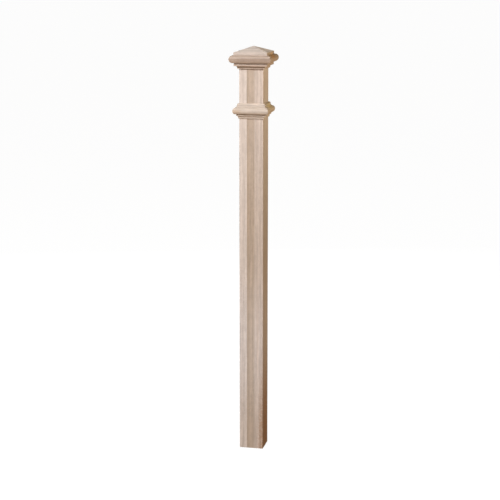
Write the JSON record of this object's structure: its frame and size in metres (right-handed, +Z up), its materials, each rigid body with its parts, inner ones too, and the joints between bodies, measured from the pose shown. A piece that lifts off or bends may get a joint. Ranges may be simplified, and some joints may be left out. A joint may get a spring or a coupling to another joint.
{
  "type": "newel post",
  "caption": "Square laminated wood newel post with a mitred collar, a stepped and rounded cap moulding and a low peaked cap block; unfinished, square-cut foot.",
  "frame": {"origin": "middle of the square-cut foot, on the surface the post stands on", "axes": "+Z up along the post, +X to the right of the front face, front faces -Y"},
  "size_m": [0.1528, 0.1528, 1.509],
  "materials": {
    "pale_stave": "bare sanded hardwood, pale pinkish beige, straight grain",
    "tan_stave": "bare sanded hardwood, tan brown, straight grain",
    "striped_stave": "bare sanded hardwood, greyish pink with fine darker stripes",
    "collar_wood": "bare sanded hardwood, grain along each length",
    "cap_moulding_wood": "bare sanded hardwood, grain along each length",
    "block_wood": "bare sanded hardwood, end grain on the left and right edges"
  },
  "bodies": {
    "root": {"stave_left": "pale_stave", "stave_middle": "tan_stave", "stave_right": "striped_stave", "collar_front": "collar_wood", "collar_right": "collar_wood", "collar_back": "collar_wood", "collar_left": "collar_wood", "cap_moulding_front": "cap_moulding_wood", "cap_moulding_right": "cap_moulding_wood", "cap_moulding_back": "cap_moulding_wood", "cap_moulding_left": "cap_moulding_wood", "cap_block": "block_wood"}
  },
  "joints": []
}
